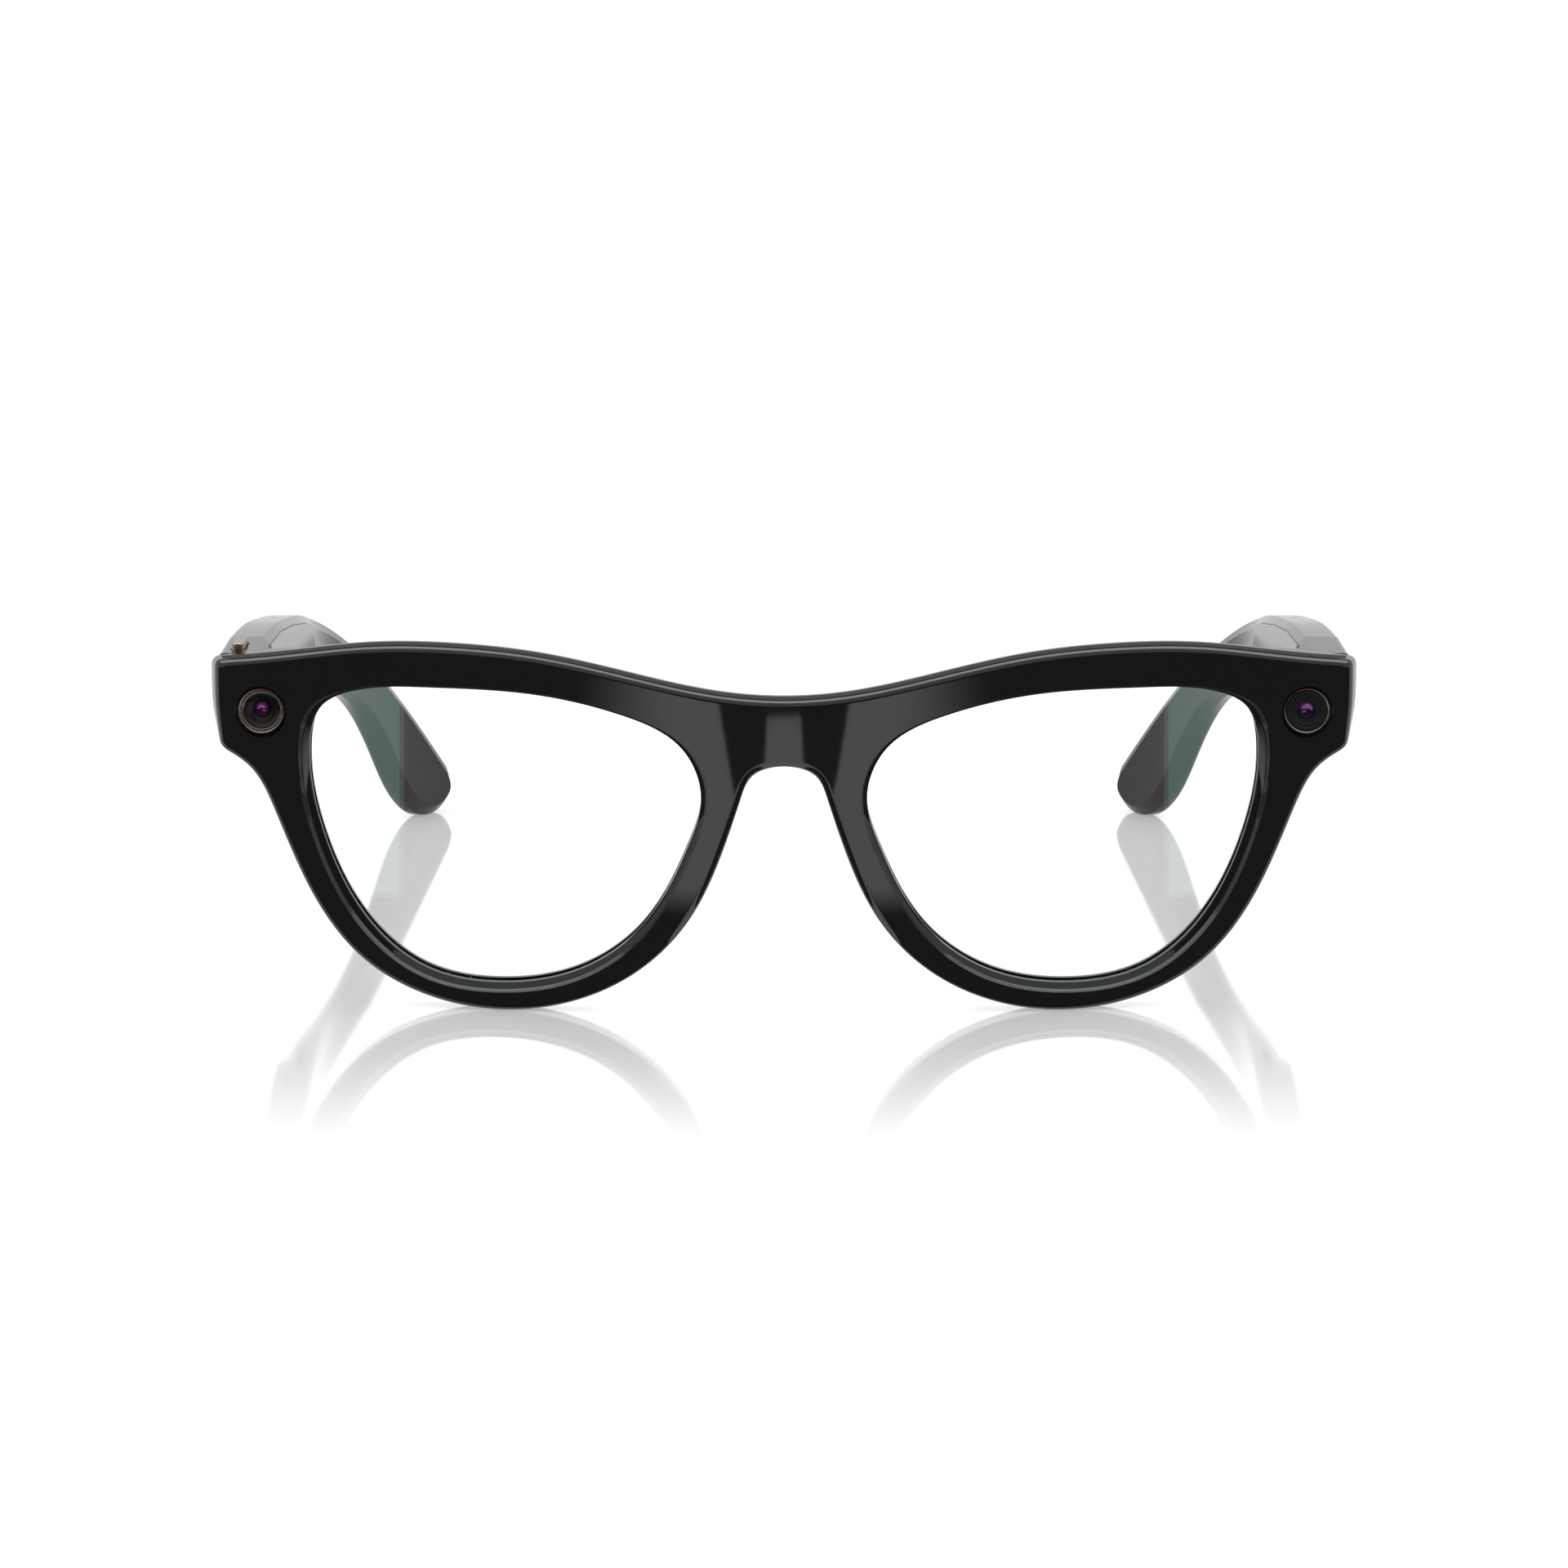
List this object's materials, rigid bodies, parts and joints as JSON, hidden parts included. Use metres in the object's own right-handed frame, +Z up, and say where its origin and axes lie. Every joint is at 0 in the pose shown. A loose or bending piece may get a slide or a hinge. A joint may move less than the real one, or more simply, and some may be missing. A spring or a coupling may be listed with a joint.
{
  "type": "smart glasses",
  "caption": "Black thick-rimmed smart glasses with folding temples, clear lenses, a camera and an indicator in the end pieces, a capture button and a power slider.",
  "frame": {"origin": "on the floor plane, midway between the two sides and midway front to back, with the glasses open and standing on rims and temple tips", "axes": "+X to the wearer's left, +Y from the front towards the temple tips, +Z up"},
  "size_m": [0.1492, 0.152, 0.0476],
  "materials": {
    "frame_black": "polished",
    "lens_clear": "clear, anti-reflection coated",
    "temple_black": "polished",
    "cover_black": "fine matte",
    "bronze_metal": "anodised taupe",
    "module_black": "matte black",
    "optic_glass": "coated glass",
    "hinge_steel": "satin",
    "screw_steel": "turned",
    "gold_contact": "gold plated",
    "circuit_board": "solder mask",
    "flex_circuit": "polyimide",
    "component_metal": "satin",
    "speaker_black": "moulded",
    "grille_steel": "blackened",
    "slider_black": "moulded"
  },
  "bodies": {
    "front": {"bridge_microphone": "component_metal", "brow_flex": "flex_circuit", "brow_strip_left": "cover_black", "brow_strip_right": "cover_black", "camera_barrel": "module_black", "camera_bezel": "bronze_metal", "camera_board": "circuit_board", "camera_lens": "optic_glass", "charging_contacts": "gold_contact", "contact_block": "cover_black", "endpiece_plate_left": "cover_black", "endpiece_plate_right": "cover_black", "endpiece_screws": "screw_steel", "front_frame": "frame_black", "hinge_front_left": "hinge_steel", "hinge_front_right": "hinge_steel", "hinge_pin_left": "hinge_steel", "hinge_pin_right": "hinge_steel", "indicator_bezel": "bronze_metal", "indicator_board": "circuit_board", "indicator_disc": "module_black", "indicator_lens": "optic_glass", "lens_left": "lens_clear", "lens_right": "lens_clear"},
    "left_temple": {"temple_shell_left": "temple_black", "temple_cover_left": "cover_black", "hinge_temple_left": "hinge_steel", "hinge_screws_left": "screw_steel", "cover_screws_left": "screw_steel", "speaker_left": "speaker_black", "speaker_grille_left": "grille_steel", "microphones_left": "component_metal", "battery": "component_metal", "power_board": "circuit_board", "power_switch": "component_metal"},
    "right_temple": {"temple_shell_right": "temple_black", "temple_cover_right": "cover_black", "hinge_temple_right": "hinge_steel", "hinge_screws_right": "screw_steel", "cover_screws_right": "screw_steel", "speaker_right": "speaker_black", "speaker_grille_right": "grille_steel", "microphones_right": "component_metal", "main_board": "circuit_board", "shield_can": "component_metal", "touch_sensor": "flex_circuit", "antenna": "flex_circuit", "button_switch": "component_metal"},
    "button": {"capture_button": "bronze_metal"},
    "slider": {"power_slider": "slider_black"}
  },
  "joints": [
    {"name": "left_temple_fold", "type": "hinge", "parent": "front", "child": "left_temple", "pos_m": [0.0663, -0.05995, 0.0387], "axis": [0, 0, 1], "range_deg": [0, 86]},
    {"name": "right_temple_fold", "type": "hinge", "parent": "front", "child": "right_temple", "pos_m": [-0.0663, -0.05995, 0.0387], "axis": [0, 0, -1], "range_deg": [0, 72]},
    {"name": "capture_button_press", "type": "slide", "parent": "right_temple", "child": "button", "axis": [0, 0, -1], "range_m": [0, 0.0004], "stiffness_N_per_m": 1200, "springref_m": -0.0003},
    {"name": "power_slider_travel", "type": "slide", "parent": "left_temple", "child": "slider", "axis": [0, 1, 0], "range_m": [0, 0.002]}
  ]
}
